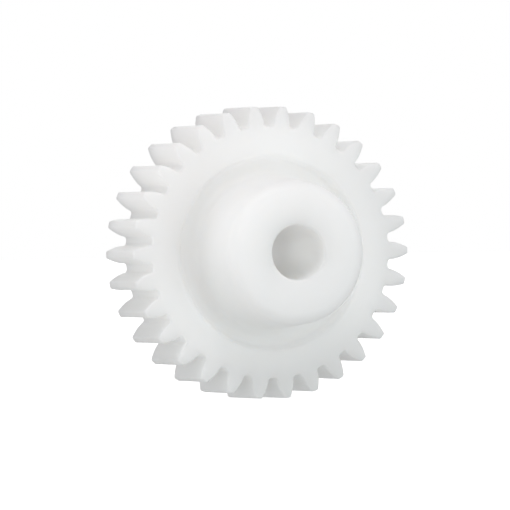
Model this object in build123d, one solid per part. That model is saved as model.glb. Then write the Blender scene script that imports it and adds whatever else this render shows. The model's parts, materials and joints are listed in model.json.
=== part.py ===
"""Moulded plastic spur gear: 30 teeth of module 1, one-sided hub, plain through bore.

Units are millimetres. The bore axis is Y and +Z is up. The origin is on the bore axis, halfway
across the face width of the teeth, and the hub points towards -Y.

The real gear is a single moulding. It is written as three zones of that moulding, which meet face
to face: the toothed rim, the web inside it, and the hub that runs through the web.
"""
from build123d import *
import os
from math import atan, cos, pi, radians, sin, sqrt, tan

# Points closer than this are one point
TOUCHING = 1e-6

# Driving dimensions of the teeth
MODULE = 1.0
TEETH = 30
PRESSURE_ANGLE = 20.0
ADDENDUM = 1.0 * MODULE
DEDENDUM = 1.25 * MODULE
FACE_WIDTH = 9.0
TIP_ROUNDING = 0.3
FLANK_POINTS = 7

# Driving dimensions of the hub, which tapers towards its face, and of its bore
BORE_RADIUS = 3.0
BORE_EDGE_ROUNDING = 0.25
HUB_ROOT_RADIUS = 8.4
HUB_FACE_RADIUS = 7.75
HUB_PROJECTION = 8.5
HUB_EDGE_ROUNDING = 1.3
HUB_ROOT_FILLET = 1.2

# Shallow ring-shaped recess around the hub, on the hub's side only, with a sloping outer wall
RECESS_DEPTH = 1.0
RECESS_FOOT_RADIUS = 10.2
RECESS_EDGE_RADIUS = 10.65
RECESS_ROUNDING = 0.45

# Dimples of the three pin gates, on the plain back face
GATE_COUNT = 3
GATE_CIRCLE_RADIUS = 6.0
GATE_SPHERE_RADIUS = 1.6
GATE_DEPTH = 0.3

# Derived sizes
PITCH_RADIUS = MODULE * TEETH / 2
BASE_RADIUS = PITCH_RADIUS * cos(radians(PRESSURE_ANGLE))
TIP_RADIUS = PITCH_RADIUS + ADDENDUM
ROOT_RADIUS = PITCH_RADIUS - DEDENDUM
PITCH_ANGLE = 360.0 / TEETH
FRONT_Y = -FACE_WIDTH / 2
BACK_Y = FACE_WIDTH / 2
HUB_FACE_Y = FRONT_Y - HUB_PROJECTION
FLOOR_Y = FRONT_Y + RECESS_DEPTH

# Corners of the half section, before rounding
HUB_FACE_CORNER = Vector(HUB_FACE_RADIUS, HUB_FACE_Y)
HUB_ROOT_CORNER = Vector(HUB_ROOT_RADIUS, FLOOR_Y)
RECESS_FOOT_CORNER = Vector(RECESS_FOOT_RADIUS, FLOOR_Y)
RECESS_EDGE_CORNER = Vector(RECESS_EDGE_RADIUS, FRONT_Y)


def polar(radius, angle):
    """A point on the tooth outline, from its radius and its angle in radians."""
    return Vector(radius * cos(angle), radius * sin(angle))


def involute_angle(radius):
    """How far, in radians, an involute has turned since it left the base circle."""
    roll = sqrt(radius**2 - BASE_RADIUS**2) / BASE_RADIUS
    return roll - atan(roll)


def tooth_edges():
    """One tooth, centred on the X axis, with half a root space on each side of it."""
    pressure = radians(PRESSURE_ANGLE)
    half_base = pi / (2 * TEETH) + tan(pressure) - pressure

    # The root fillet touches the root circle and ends where the involute leaves the base circle
    fillet = (BASE_RADIUS**2 - ROOT_RADIUS**2) / (2 * ROOT_RADIUS)
    fillet_angle = half_base + atan(fillet / BASE_RADIUS)
    fillet_centre = polar(ROOT_RADIUS + fillet, fillet_angle)
    fillet_start = polar(ROOT_RADIUS, fillet_angle)
    flank_start = polar(BASE_RADIUS, half_base)
    fillet_middle = fillet_centre + polar(fillet, fillet_angle - 3 * pi / 4)

    # The tip rounding touches the flank and the tip circle
    centre_radius = TIP_RADIUS - TIP_ROUNDING
    centre_reach = sqrt(centre_radius**2 - BASE_RADIUS**2)
    flank_end_radius = sqrt(BASE_RADIUS**2 + (centre_reach + TIP_ROUNDING) ** 2)
    tip_angle = half_base - involute_angle(centre_radius) - TIP_ROUNDING / BASE_RADIUS
    tip_centre = polar(centre_radius, tip_angle)
    flank = []
    for i in range(FLANK_POINTS):
        radius = BASE_RADIUS + (flank_end_radius - BASE_RADIUS) * (i / (FLANK_POINTS - 1)) ** 2
        flank.append(polar(radius, half_base - involute_angle(radius)))
    tip_start = polar(TIP_RADIUS, tip_angle)
    corner = (flank[-1] - tip_centre).normalized() + (tip_start - tip_centre).normalized()
    tip_middle = tip_centre + corner.normalized() * TIP_ROUNDING

    half_pitch = pi / TEETH
    root = ThreePointArc(
        polar(ROOT_RADIUS, half_pitch),
        polar(ROOT_RADIUS, (half_pitch + fillet_angle) / 2),
        fillet_start,
    )
    upper = [
        root,
        ThreePointArc(fillet_start, fillet_middle, flank_start),
        Spline(*flank, tangents=[polar(1, half_base), flank[-1] - flank[-2]]),
        ThreePointArc(flank[-1], tip_middle, tip_start),
    ]
    tip = ThreePointArc(tip_start, polar(TIP_RADIUS, 0), polar(TIP_RADIUS, -tip_angle))
    lower = [edge.mirror(Plane.XZ) for edge in upper]
    return upper + [tip] + lower


def toothed_blank():
    """The full toothed disc, with no recess or bore."""
    edges = []
    for i in range(TEETH):
        edges += [edge.rotate(Axis.Z, i * PITCH_ANGLE) for edge in tooth_edges()]
    outline = Plane.XZ * Face(Wire(edges))
    return extrude(outline, amount=FACE_WIDTH / 2, both=True)


def rounding(before, corner, after, radius):
    """Start, middle and end of the arc that rounds off a corner between two straight lines."""
    towards = (before - corner).normalized()
    onwards = (after - corner).normalized()
    half = radians(towards.get_angle(onwards)) / 2
    start = corner + towards * (radius / tan(half))
    end = corner + onwards * (radius / tan(half))
    middle = corner + (towards + onwards).normalized() * (radius / sin(half) - radius)
    return start, middle, end


def turned(*corners):
    """A solid of revolution about the bore, from its half section's corners and their roundings."""
    places = [corner for corner, _ in corners]
    arcs = []
    for before, (corner, radius), after in zip(places[-1:] + places, corners, places[1:] + places[:1]):
        arcs.append(rounding(before, corner, after, radius) if radius else (corner, corner, corner))
    edges = []
    for (_, _, line_start), (start, middle, end) in zip(arcs[-1:] + arcs, arcs):
        if (start - line_start).length > TOUCHING:
            edges.append(Line(line_start, start))
        if (end - start).length > TOUCHING:
            edges.append(ThreePointArc(start, middle, end))
    return revolve(make_face(edges), axis=Axis.Y)


# Where the fillet leaves the hub's side, and where the wall's foot rounding leaves the recess's floor
HUB_SIDE_END = rounding(HUB_FACE_CORNER, HUB_ROOT_CORNER, RECESS_FOOT_CORNER, HUB_ROOT_FILLET)[0]
RIM_INNER = rounding(HUB_ROOT_CORNER, RECESS_FOOT_CORNER, RECESS_EDGE_CORNER, RECESS_ROUNDING)[0].X


def gate_dimples():
    """Shallow round dimples, evenly spaced, the first one straight above the bore."""
    dimples = []
    for i in range(GATE_COUNT):
        angle = radians(90 + i * 360 / GATE_COUNT)
        centre_y = BACK_Y - GATE_DEPTH + GATE_SPHERE_RADIUS
        centre = (GATE_CIRCLE_RADIUS * cos(angle), centre_y, GATE_CIRCLE_RADIUS * sin(angle))
        dimples.append(Pos(*centre) * Sphere(GATE_SPHERE_RADIUS))
    return dimples


def make_toothed_rim():
    """The ring that carries the teeth, with the sloping outer wall of the recess."""
    outside = 2 * TIP_RADIUS
    ring = turned(
        (Vector(RIM_INNER, BACK_Y), 0),
        (Vector(RIM_INNER, FLOOR_Y), 0),
        (RECESS_FOOT_CORNER, RECESS_ROUNDING),
        (RECESS_EDGE_CORNER, RECESS_ROUNDING),
        (Vector(outside, FRONT_Y), 0),
        (Vector(outside, BACK_Y), 0),
    )
    return toothed_blank() & ring


def make_web():
    """The ring between rim and hub, with the recess's floor and the fillet that rises to the hub."""
    return turned(
        (Vector(HUB_SIDE_END.X, BACK_Y), 0),
        (HUB_SIDE_END, 0),
        (HUB_ROOT_CORNER, HUB_ROOT_FILLET),
        (Vector(RIM_INNER, FLOOR_Y), 0),
        (Vector(RIM_INNER, BACK_Y), 0),
    )


def make_hub():
    """The hub, from the back face to its rounded front end, with the bore through it."""
    hub = turned(
        (Vector(BORE_RADIUS, BACK_Y), BORE_EDGE_ROUNDING),
        (Vector(BORE_RADIUS, HUB_FACE_Y), BORE_EDGE_ROUNDING),
        (HUB_FACE_CORNER, HUB_EDGE_ROUNDING),
        (HUB_SIDE_END, 0),
        (Vector(HUB_SIDE_END.X, BACK_Y), 0),
    )
    return hub - gate_dimples()


os.makedirs("parts", exist_ok=True)
zones = {"toothed_rim": make_toothed_rim(), "web": make_web(), "hub": make_hub()}
for name, solid in zones.items():
    export_step(solid, f"parts/{name}.step")
    print(name, round(solid.volume, 2), "mm3")
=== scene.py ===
"""The looks of a moulded plastic spur gear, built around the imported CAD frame. Units are metres.

The bore axis is Y, the hub points towards -Y and +Z is up. The gear is one moulding, so it is one
continuous mesh here: a closed half section that is carried round the bore, and that follows the
involute outline where it passes through the teeth.
"""

import json
from math import atan, ceil, cos, pi, radians, sin, sqrt, tan

import bpy
import numpy as np
from mathutils import Matrix, Vector


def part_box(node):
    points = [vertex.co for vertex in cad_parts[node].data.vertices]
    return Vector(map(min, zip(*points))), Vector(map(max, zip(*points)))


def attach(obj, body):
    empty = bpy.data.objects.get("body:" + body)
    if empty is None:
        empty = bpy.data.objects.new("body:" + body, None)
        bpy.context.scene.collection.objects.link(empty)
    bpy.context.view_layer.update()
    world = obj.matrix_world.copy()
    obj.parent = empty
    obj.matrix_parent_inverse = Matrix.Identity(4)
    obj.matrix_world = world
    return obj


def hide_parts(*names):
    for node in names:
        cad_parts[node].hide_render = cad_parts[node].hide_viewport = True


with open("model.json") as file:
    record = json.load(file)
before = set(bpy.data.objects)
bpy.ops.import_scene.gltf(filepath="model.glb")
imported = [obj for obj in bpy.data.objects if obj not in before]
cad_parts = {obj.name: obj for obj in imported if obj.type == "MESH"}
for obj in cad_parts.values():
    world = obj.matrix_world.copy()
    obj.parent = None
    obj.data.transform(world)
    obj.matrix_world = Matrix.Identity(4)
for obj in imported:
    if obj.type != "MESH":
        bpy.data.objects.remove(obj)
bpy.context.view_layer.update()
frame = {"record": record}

MM = 0.001

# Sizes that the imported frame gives
mounts = {mount["name"]: mount for mount in frame["record"]["mounts"]}
rim_low, rim_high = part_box("toothed_rim")
hub_low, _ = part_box("hub")
BORE_RADIUS = mounts["bore"]["dims"]["r_mm"] * MM
PITCH_RADIUS = mounts["tooth_mesh"]["pos_m"][2]
TIP_RADIUS = rim_high.x
FRONT_Y = rim_low.y
BACK_Y = rim_high.y
HUB_FACE_Y = hub_low.y

# Tooth form
MODULE = 1.0 * MM
TEETH = round(2 * PITCH_RADIUS / MODULE)
PRESSURE_ANGLE = radians(20)
DEDENDUM = 1.25 * MODULE
ROOT_RADIUS = PITCH_RADIUS - DEDENDUM
BASE_RADIUS = PITCH_RADIUS * cos(PRESSURE_ANGLE)
TIP_ROUNDING = 0.3 * MM
TOOTH_EDGE_ROUNDING = 0.18 * MM

# Tapering hub, recess and gate dimples
BORE_EDGE_ROUNDING = 0.25 * MM
HUB_ROOT_RADIUS = 8.4 * MM
HUB_FACE_RADIUS = 7.75 * MM
HUB_EDGE_ROUNDING = 1.3 * MM
HUB_ROOT_FILLET = 1.2 * MM
RECESS_DEPTH = 1.0 * MM
RECESS_FOOT_RADIUS = 10.2 * MM
RECESS_EDGE_RADIUS = 10.65 * MM
RECESS_EDGE_ROUNDING = 0.45 * MM
RECESS_FOOT_FILLET = 0.45 * MM
GATE_COUNT = 3
GATE_CIRCLE_RADIUS = 6.0 * MM
GATE_RADIUS = 0.95 * MM
GATE_DEPTH = 0.3 * MM

# Mesh steps along half a tooth outline, from the middle of its tip to the middle of the root space
TIP_STEPS = 1
ROUNDING_STEPS = 4
FLANK_STEPS = 6
FILLET_STEPS = 3
ROOT_STEPS = 2

# Mesh steps along the half section. The teeth's end faces start at the join, inside the root circle
JOIN_RADIUS = ROOT_RADIUS - 0.9 * MM
TOOTH_FACE_STEPS = 3
TOOTH_EDGE_ANGLES = (radians(30), radians(60), radians(90))
TOOTH_WIDTH_STEPS = 8
GATE_STEPS = 12
ARC_STEP = radians(12)
LONGEST_STEP = 1.8 * MM
SURFACE_TOLERANCE = 0.01 * MM

# The plastic: how it scatters light, and its faint mottle, changes in gloss and moulded skin
REFRACTIVE_INDEX = 1.48
SCATTER_COLOUR = (1.0, 0.95, 0.9)
SCATTER_DEPTH = 14.0 * MM
MOTTLE_SCALE = 160
MOTTLE_DARK = (0.907, 0.907, 0.892, 1)
MOTTLE_LIGHT = (0.932, 0.932, 0.917, 1)
GLOSS_SCALE = 700
LEAST_ROUGH = 0.5
MOST_ROUGH = 0.62
SKIN_SCALE = 5000
SKIN_STRENGTH = 0.12
SKIN_HEIGHT = 0.01 * MM

# The camera, from where the photograph was taken
AZIMUTH = radians(-20.37)
ELEVATION = radians(0.25)
ROLL = radians(0.89)
DISTANCE = 0.8333
VIEW_WIDTH = 55.66 * MM
AIM_RIGHT = -1.77 * MM
AIM_UP = -0.27 * MM
SENSOR_WIDTH = 36
CAMERA_OUT = Vector((sin(AZIMUTH), -cos(AZIMUTH), 0))
CAMERA_RIGHT = Vector((cos(AZIMUTH), sin(AZIMUTH), 0))
UP = Vector((0, 0, 1))

# The floor and the light from all round
FLOOR_HALF_WIDTH = 3.0
FLOOR_COLOUR = (0.9, 0.9, 0.9, 1)
FLOOR_GLOW = 0.6
SURROUND = 0.415

# Soft lights: degrees to the right of the camera, degrees up, brightness and colour
WHITE = (1.0, 1.0, 1.0)
WARM = (1.0, 0.965, 0.975)
COOL = (0.95, 1.0, 0.985)
COOLER = (0.86, 1.0, 1.0)
SOFT_LIGHT_WIDTH = radians(30)
SOFT_LIGHTS = {
    "overhead": (0, 60, 0.395, WARM),
    "left": (-90, 5, 0.18, WARM),
    "right": (49, 5, 0.185, WHITE),
    "front": (0, -8, 0.05, WHITE),
    "low_left": (-60, -20, 0.172, COOL),
    "low_right": (60, -20, 0.135, COOLER),
    "behind": (180, 25, 0.09, WHITE),
}

# The thin beam into the bore
BEAM_POWER = 1.3
BEAM_DISTANCE = 0.2
BEAM_CONE = radians(1.15)
BEAM_BLEND = 0.5
BEAM_SOURCE_RADIUS = 1 * MM


def steps(start, end, count):
    """Evenly spaced values after start, up to and including end."""
    return [start + (end - start) * i / count for i in range(1, count + 1)]


def around(distance, bearing, radius, direction):
    """A point at a radius and direction from a centre, which lies at a distance and bearing."""
    x = distance * cos(bearing) + radius * cos(direction)
    z = distance * sin(bearing) + radius * sin(direction)
    return x, z


def half_tooth():
    """Points and outward normal angles from the middle of a tip to the middle of a root space."""
    half_base = pi / (2 * TEETH) + tan(PRESSURE_ANGLE) - PRESSURE_ANGLE
    centre_radius = TIP_RADIUS - TIP_ROUNDING
    centre_reach = sqrt(centre_radius**2 - BASE_RADIUS**2)
    flank_reach = centre_reach + TIP_ROUNDING
    tip_angle = half_base - flank_reach / BASE_RADIUS + atan(centre_reach / BASE_RADIUS)
    fillet = (BASE_RADIUS**2 - ROOT_RADIUS**2) / (2 * ROOT_RADIUS)
    fillet_angle = half_base + atan(fillet / BASE_RADIUS)

    rows = [(TIP_RADIUS, 0.0, 0.0)]
    for angle in steps(0, tip_angle, TIP_STEPS):
        rows.append((*around(TIP_RADIUS, angle, 0, 0), angle))
    flank_normal = half_base - flank_reach / BASE_RADIUS + pi / 2
    for normal in steps(tip_angle, flank_normal, ROUNDING_STEPS):
        rows.append((*around(centre_radius, tip_angle, TIP_ROUNDING, normal), normal))
    for reach in steps(flank_reach, 0, FLANK_STEPS):
        contact = half_base - reach / BASE_RADIUS
        rows.append((*around(BASE_RADIUS, contact, reach, contact + pi / 2), contact + pi / 2))
    for normal in steps(half_base + pi / 2, fillet_angle, FILLET_STEPS):
        rows.append((*around(ROOT_RADIUS + fillet, fillet_angle, -fillet, normal), normal))
    for angle in steps(fillet_angle, pi / TEETH, ROOT_STEPS):
        rows.append((*around(ROOT_RADIUS, angle, 0, 0), angle))
    return np.array(rows)


def toothed_outline():
    """X, Z and the outward unit normal of every point round the teeth, anticlockwise."""
    half = half_tooth()
    mirrored = half[:0:-1] * (1, -1, -1)
    pitch = np.vstack([mirrored, half[:-1]])
    turns = np.arange(TEETH)[:, None] * (2 * pi / TEETH)
    x, z, normal = pitch.T
    angle = np.arctan2(z, x) + turns
    radius = np.hypot(x, z)
    normal = (normal + turns).ravel()
    points = np.stack([(radius * np.cos(angle)).ravel(), (radius * np.sin(angle)).ravel()], 1)
    return points, np.stack([np.cos(normal), np.sin(normal)], 1)


OUTLINE, OUTLINE_NORMAL = toothed_outline()
COUNT = len(OUTLINE)
TURN = (np.arange(COUNT) / COUNT - 0.5 / TEETH) * 2 * pi
UNIT_CIRCLE = np.stack([np.cos(TURN), np.sin(TURN)], 1)


def ring(points, y):
    """Points in X and Z, set at that Y."""
    return np.stack([points[:, 0], np.full(COUNT, y), points[:, 1]], 1)


def circles(profile):
    """A ring for each radius and Y of a profile."""
    return [ring(UNIT_CIRCLE * radius, y) for radius, y in profile]


def rounded(corners):
    """Profile points through corners given as radius, Y and rounding, with an arc at each corner."""
    places = [Vector(corner[:2]) for corner in corners]
    points = [places[0]]
    for before, place, after, corner in zip(places, places[1:], places[2:], corners[1:]):
        towards = (before - place).normalized()
        onwards = (after - place).normalized()
        half = towards.angle(onwards) / 2
        centre = place + (towards + onwards).normalized() * corner[2] / sin(half)
        first = place + towards * corner[2] / tan(half) - centre
        last = place + onwards * corner[2] / tan(half) - centre
        points += straight(points[-1], centre + first)
        arc_steps = ceil((pi - 2 * half) / ARC_STEP)
        turns = [first.slerp(last, i / arc_steps) for i in range(1, arc_steps + 1)]
        points += [centre + turn * corner[2] for turn in turns]
    return points + straight(points[-1], places[-1])


def straight(start, end):
    """Points after start, up to and including end, no further apart than the longest step."""
    count = ceil((end - start).length / LONGEST_STEP)
    return [start.lerp(end, i / count) for i in range(1, count + 1)]


def front_profile():
    """From the back end of the bore wall, through the bore and over the hub, to the rim's face."""
    floor_y = FRONT_Y + RECESS_DEPTH
    return rounded([
        (BORE_RADIUS, BACK_Y - BORE_EDGE_ROUNDING, 0),
        (BORE_RADIUS, HUB_FACE_Y, BORE_EDGE_ROUNDING),
        (HUB_FACE_RADIUS, HUB_FACE_Y, HUB_EDGE_ROUNDING),
        (HUB_ROOT_RADIUS, floor_y, HUB_ROOT_FILLET),
        (RECESS_FOOT_RADIUS, floor_y, RECESS_FOOT_FILLET),
        (RECESS_EDGE_RADIUS, FRONT_Y, RECESS_EDGE_ROUNDING),
        (JOIN_RADIUS, FRONT_Y, 0),
    ])


def back_profile():
    """From the join with the teeth, over the plain back face, to the bore's back edge."""
    gate_outside = Vector((GATE_CIRCLE_RADIUS + GATE_RADIUS, BACK_Y))
    gate_inside = Vector((GATE_CIRCLE_RADIUS - GATE_RADIUS, BACK_Y))
    across_gates = [gate_outside.lerp(gate_inside, i / GATE_STEPS) for i in range(GATE_STEPS)]
    inwards = rounded([
        (*gate_inside, 0),
        (BORE_RADIUS, BACK_Y, BORE_EDGE_ROUNDING),
        (BORE_RADIUS, BACK_Y - BORE_EDGE_ROUNDING, 0),
    ])
    join = Vector((JOIN_RADIUS, BACK_Y))
    return [join] + straight(join, gate_outside)[:-1] + across_gates + inwards[:-1]


def tooth_rings():
    """The end faces of the teeth, their rounded edges and the flanks, from front to back."""
    inset = OUTLINE - OUTLINE_NORMAL * TOOTH_EDGE_ROUNDING
    join = UNIT_CIRCLE * JOIN_RADIUS
    edge = []
    for angle in TOOTH_EDGE_ANGLES:
        shrink = TOOTH_EDGE_ROUNDING * (1 - sin(angle))
        depth = TOOTH_EDGE_ROUNDING * (1 - cos(angle))
        edge.append((OUTLINE - OUTLINE_NORMAL * shrink, depth))
    face = [join + (inset - join) * share for share in steps(0, 1, TOOTH_FACE_STEPS)]
    front = [ring(points, FRONT_Y) for points in face]
    front += [ring(points, FRONT_Y + depth) for points, depth in edge]
    back = [ring(points, BACK_Y - depth) for points, depth in reversed(edge)]
    back += [ring(points, BACK_Y) for points in reversed(face)]
    first = FRONT_Y + TOOTH_EDGE_ROUNDING
    last = BACK_Y - TOOTH_EDGE_ROUNDING
    flank = [ring(OUTLINE, y) for y in steps(first, last, TOOTH_WIDTH_STEPS)[:-1]]
    return front + flank + back


def press_gates(points):
    """Sinks the shallow dimples of the pin gates into the back face."""
    on_back = np.abs(points[:, 1] - BACK_Y) < SURFACE_TOLERANCE
    for i in range(GATE_COUNT):
        angle = pi / 2 + i * 2 * pi / GATE_COUNT
        away = np.hypot(
            points[:, 0] - GATE_CIRCLE_RADIUS * cos(angle),
            points[:, 2] - GATE_CIRCLE_RADIUS * sin(angle),
        )
        bowl = 0.5 + 0.5 * np.cos(pi * np.clip(away / GATE_RADIUS, 0, 1))
        points[:, 1] -= np.where(on_back, GATE_DEPTH * bowl, 0)


def gear_mesh():
    """One closed mesh, all in quads: rings of points joined to the next ring, the last to the first."""
    rings = circles(front_profile()) + tooth_rings() + circles(back_profile())
    points = np.vstack(rings)
    press_gates(points)
    row = np.arange(len(rings))[:, None] * COUNT
    next_row = np.roll(row, -1, axis=0)
    step = np.arange(COUNT)[None, :]
    next_step = np.roll(step, -1, axis=1)
    quads = np.stack([row + step, next_row + step, next_row + next_step, row + next_step], -1)
    mesh = bpy.data.meshes.new("gear_moulding")
    mesh.from_pydata(points.tolist(), [], quads.reshape(-1, 4).tolist())
    mesh.shade_smooth()
    return mesh


def acetal():
    """Natural white acetal as moulded: satin, milky, with a faint flow mottle and a fine skin."""
    material = bpy.data.materials.new("acetal")
    material.use_nodes = True
    nodes = material.node_tree.nodes
    links = material.node_tree.links
    shader = nodes["Principled BSDF"]
    shader.inputs["IOR"].default_value = REFRACTIVE_INDEX
    shader.inputs["Subsurface Weight"].default_value = 1.0
    shader.inputs["Subsurface Radius"].default_value = SCATTER_COLOUR
    shader.inputs["Subsurface Scale"].default_value = SCATTER_DEPTH
    place = nodes.new("ShaderNodeTexCoord")

    def noise(scale, detail):
        node = nodes.new("ShaderNodeTexNoise")
        node.inputs["Scale"].default_value = scale
        node.inputs["Detail"].default_value = detail
        links.new(place.outputs["Object"], node.inputs["Vector"])
        return node

    mottle = noise(MOTTLE_SCALE, 3)
    tint = nodes.new("ShaderNodeMix")
    tint.data_type = "RGBA"
    tint.inputs["A"].default_value = MOTTLE_DARK
    tint.inputs["B"].default_value = MOTTLE_LIGHT
    links.new(mottle.outputs["Fac"], tint.inputs["Factor"])
    links.new(tint.outputs["Result"], shader.inputs["Base Color"])

    gloss = nodes.new("ShaderNodeMapRange")
    gloss.inputs["To Min"].default_value = LEAST_ROUGH
    gloss.inputs["To Max"].default_value = MOST_ROUGH
    links.new(noise(GLOSS_SCALE, 2).outputs["Fac"], gloss.inputs["Value"])
    links.new(gloss.outputs["Result"], shader.inputs["Roughness"])

    skin = nodes.new("ShaderNodeBump")
    skin.inputs["Strength"].default_value = SKIN_STRENGTH
    skin.inputs["Distance"].default_value = SKIN_HEIGHT
    links.new(noise(SKIN_SCALE, 2).outputs["Fac"], skin.inputs["Height"])
    links.new(skin.outputs["Normal"], shader.inputs["Normal"])
    return material


def make_gear():
    """The whole moulding in one piece, in place of the three zones of the CAD frame."""
    gear = bpy.data.objects.new("gear_moulding", gear_mesh())
    bpy.context.scene.collection.objects.link(gear)
    gear.data.materials.append(acetal())
    weighted = gear.modifiers.new("flat_faces_stay_flat", "WEIGHTED_NORMAL")
    weighted.keep_sharp = False
    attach(gear, "root")
    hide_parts("toothed_rim", "web", "hub")


def make_floor(height):
    """A plain, faintly glowing floor, wide enough for every view. It throws no light at the gear."""
    half = FLOOR_HALF_WIDTH
    corners = [
        (-half, -half, height),
        (half, -half, height),
        (half, half, height),
        (-half, half, height),
    ]
    mesh = bpy.data.meshes.new("floor")
    mesh.from_pydata(corners, [], [(0, 1, 2, 3)])
    floor = bpy.data.objects.new("floor", mesh)
    bpy.context.scene.collection.objects.link(floor)
    material = bpy.data.materials.new("pale_floor")
    material.use_nodes = True
    shader = material.node_tree.nodes["Principled BSDF"]
    shader.inputs["Base Color"].default_value = FLOOR_COLOUR
    shader.inputs["Roughness"].default_value = 1.0
    shader.inputs["Specular IOR Level"].default_value = 0.0
    shader.inputs["Emission Color"].default_value = (*WHITE, 1)
    shader.inputs["Emission Strength"].default_value = FLOOR_GLOW
    mesh.materials.append(material)
    floor.visible_diffuse = False
    floor.visible_glossy = False
    floor.visible_shadow = False


def make_world():
    """Even white light from all round, and a pure white background for the camera alone."""
    world = bpy.data.worlds.new("studio")
    bpy.context.scene.world = world
    world.use_nodes = True
    nodes = world.node_tree.nodes
    links = world.node_tree.links
    around = nodes["Background"]
    around.inputs["Color"].default_value = (*WHITE, 1)
    around.inputs["Strength"].default_value = SURROUND
    seen = nodes.new("ShaderNodeBackground")
    seen.inputs["Color"].default_value = (*WHITE, 1)
    seen.inputs["Strength"].default_value = 1.0
    mix = nodes.new("ShaderNodeMixShader")
    links.new(nodes.new("ShaderNodeLightPath").outputs["Is Camera Ray"], mix.inputs["Fac"])
    links.new(around.outputs["Background"], mix.inputs[1])
    links.new(seen.outputs["Background"], mix.inputs[2])
    links.new(mix.outputs["Shader"], nodes["World Output"].inputs["Surface"])


def soft_light(name, side, height, brightness, tint):
    """A broad soft light. A brightness of 1 makes a white surface that faces it fully white."""
    side = radians(side)
    height = radians(height)
    level = CAMERA_OUT * cos(side) + CAMERA_RIGHT * sin(side)
    towards = level * cos(height) + UP * sin(height)
    light = bpy.data.lights.new(name, "SUN")
    light.angle = SOFT_LIGHT_WIDTH
    light.energy = pi * brightness
    light.color = tint
    lamp = bpy.data.objects.new(name, light)
    bpy.context.scene.collection.objects.link(lamp)
    lamp.rotation_euler = towards.to_track_quat("Z", "Y").to_euler()


def light_into_bore():
    """A thin beam from the camera's side that lights the bore's wall."""
    light = bpy.data.lights.new("into_bore", "SPOT")
    light.spot_size = BEAM_CONE
    light.spot_blend = BEAM_BLEND
    light.shadow_soft_size = BEAM_SOURCE_RADIUS
    light.energy = BEAM_POWER
    lamp = bpy.data.objects.new("into_bore", light)
    bpy.context.scene.collection.objects.link(lamp)
    lamp.location = Vector((0, HUB_FACE_Y, 0)) + CAMERA_OUT * BEAM_DISTANCE
    lamp.rotation_euler = CAMERA_OUT.to_track_quat("Z", "Y").to_euler()


def make_camera():
    """The camera, a little above the level of the bore, slightly rolled, and aimed off the centre."""
    back = CAMERA_OUT * cos(ELEVATION) + UP * sin(ELEVATION)
    up = UP * cos(ELEVATION) - CAMERA_OUT * sin(ELEVATION)
    image_right = CAMERA_RIGHT * cos(ROLL) - up * sin(ROLL)
    image_up = CAMERA_RIGHT * sin(ROLL) + up * cos(ROLL)
    place = Vector((0, FRONT_Y, 0)) + back * DISTANCE
    aim = Vector((0, FRONT_Y, 0)) + image_right * AIM_RIGHT + image_up * AIM_UP
    z = (place - aim).normalized()
    x = image_up.cross(z).normalized()
    y = z.cross(x)
    data = bpy.data.cameras.new("camera")
    data.sensor_width = SENSOR_WIDTH
    data.lens = SENSOR_WIDTH * DISTANCE / VIEW_WIDTH
    camera = bpy.data.objects.new("camera", data)
    bpy.context.scene.collection.objects.link(camera)
    camera.matrix_world = Matrix.Translation(place) @ Matrix((x, y, z)).transposed().to_4x4()
    bpy.context.scene.camera = camera


make_gear()
make_floor(rim_low.z)
make_world()
for name, (side, height, brightness, tint) in SOFT_LIGHTS.items():
    soft_light(name, side, height, brightness, tint)
light_into_bore()
make_camera()
bpy.context.scene.view_settings.view_transform = "Standard"
